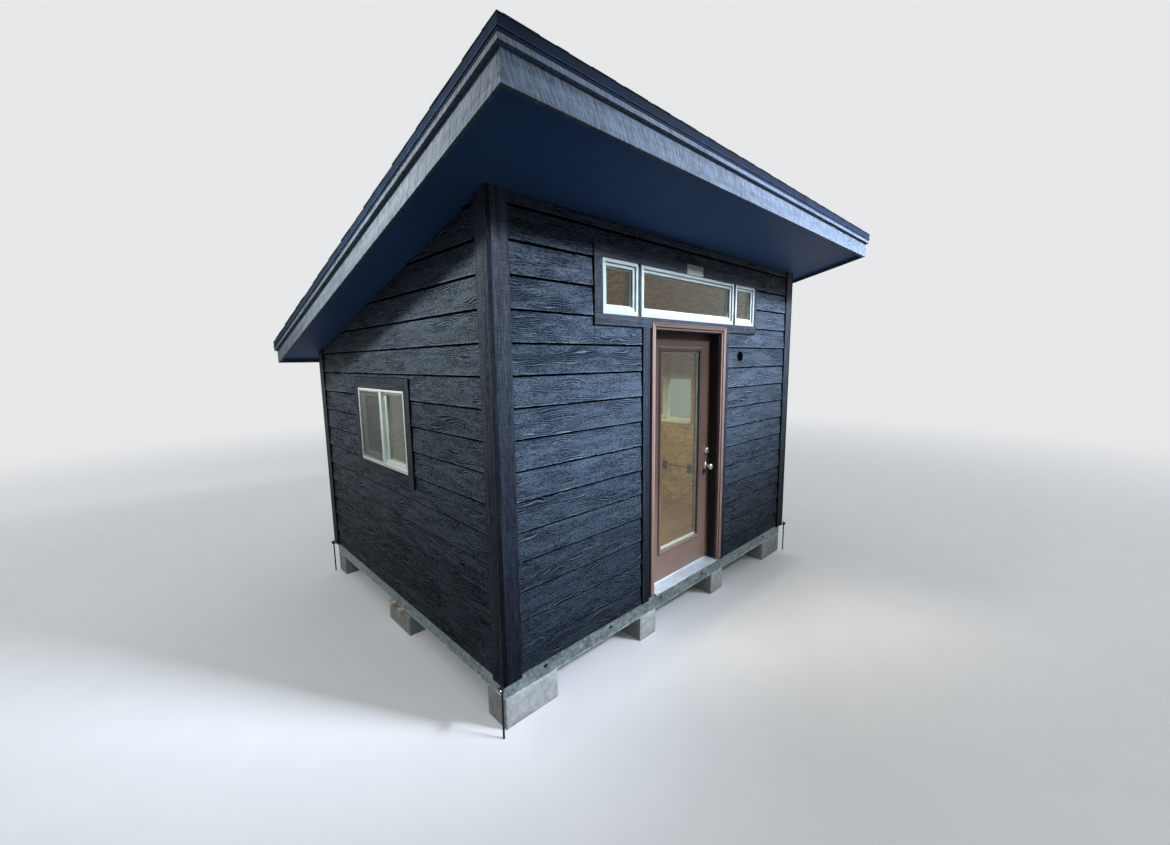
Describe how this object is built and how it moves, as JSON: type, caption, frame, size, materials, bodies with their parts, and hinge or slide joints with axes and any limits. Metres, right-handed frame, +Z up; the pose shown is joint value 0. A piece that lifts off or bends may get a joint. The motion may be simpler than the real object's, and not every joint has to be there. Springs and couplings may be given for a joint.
{
  "type": "garden office pod",
  "caption": "Small single-slope garden office pod in dark lap siding, with a full-glass door that opens inward under transom windows, side windows and a steel base on blocks.",
  "frame": {"origin": "on the ground under the middle of the roof's outline", "axes": "+X along the front wall to the right as seen from outside, +Y from the front wall to the back wall, +Z up; the door is in the wall that faces -Y"},
  "size_m": [4.3378, 4.0198, 3.3401],
  "materials": {
    "stone": "cast concrete",
    "pine": "raw pine",
    "galvanised_steel": "hot-dip galvanised",
    "plywood": "raw plywood",
    "wall_board": "raw strand board",
    "dark_siding": "satin paint over cedar grain",
    "dark_trim": "satin paint",
    "white_vinyl": "white vinyl",
    "window_glass": "clear",
    "insect_screen": "fine dark mesh",
    "brown_frame": "brown paint",
    "mill_aluminium": "satin",
    "satin_nickel": "satin",
    "brown_door": "satin brown paint",
    "framing_lumber": "raw spruce",
    "shingles": "mineral granules",
    "black_metal": "satin black",
    "dark_soffit": "satin paint",
    "black_plastic": "satin black"
  },
  "bodies": {
    "pod": {"concrete_blocks": "stone", "block_shims": "pine", "base_rails": "galvanised_steel", "floor_joists": "galvanised_steel", "floor_deck": "plywood", "front_wall_left": "wall_board", "front_wall_right": "wall_board", "front_wall_head": "wall_board", "left_wall": "wall_board", "right_wall": "wall_board", "back_wall": "wall_board", "siding_front": "dark_siding", "siding_left": "dark_siding", "siding_right": "dark_siding", "siding_back": "dark_siding", "corner_boards": "dark_trim", "front_trim": "dark_trim", "window_casings": "dark_trim", "transom_frames": "white_vinyl", "window_frames": "white_vinyl", "window_sashes": "white_vinyl", "transom_glass": "window_glass", "window_glass": "window_glass", "window_screens": "insect_screen", "door_jambs": "brown_frame", "door_moulding": "brown_frame", "door_threshold": "mill_aluminium", "frame_hinges": "satin_nickel", "rafters": "framing_lumber", "roof_boards": "wall_board", "roof_shingles": "shingles", "fascia_boards": "dark_trim", "fascia_strips": "dark_trim", "drip_edges": "black_metal", "soffit_panels": "dark_soffit", "ceiling_panel": "wall_board", "wall_port": "black_plastic", "anchor_rods": "black_metal", "anchor_clamps": "galvanised_steel"},
    "door": {"door_slab": "brown_door", "door_lite_frame": "brown_door", "door_glass": "window_glass", "door_knobs": "satin_nickel", "door_deadbolt": "satin_nickel", "door_hinges": "satin_nickel"}
  },
  "joints": [
    {"name": "door_hinge", "type": "hinge", "parent": "pod", "child": "door", "pos_m": [-0.4575, -1.2545, 1.3], "axis": [0, 0, 1], "range_deg": [0, 100]}
  ]
}
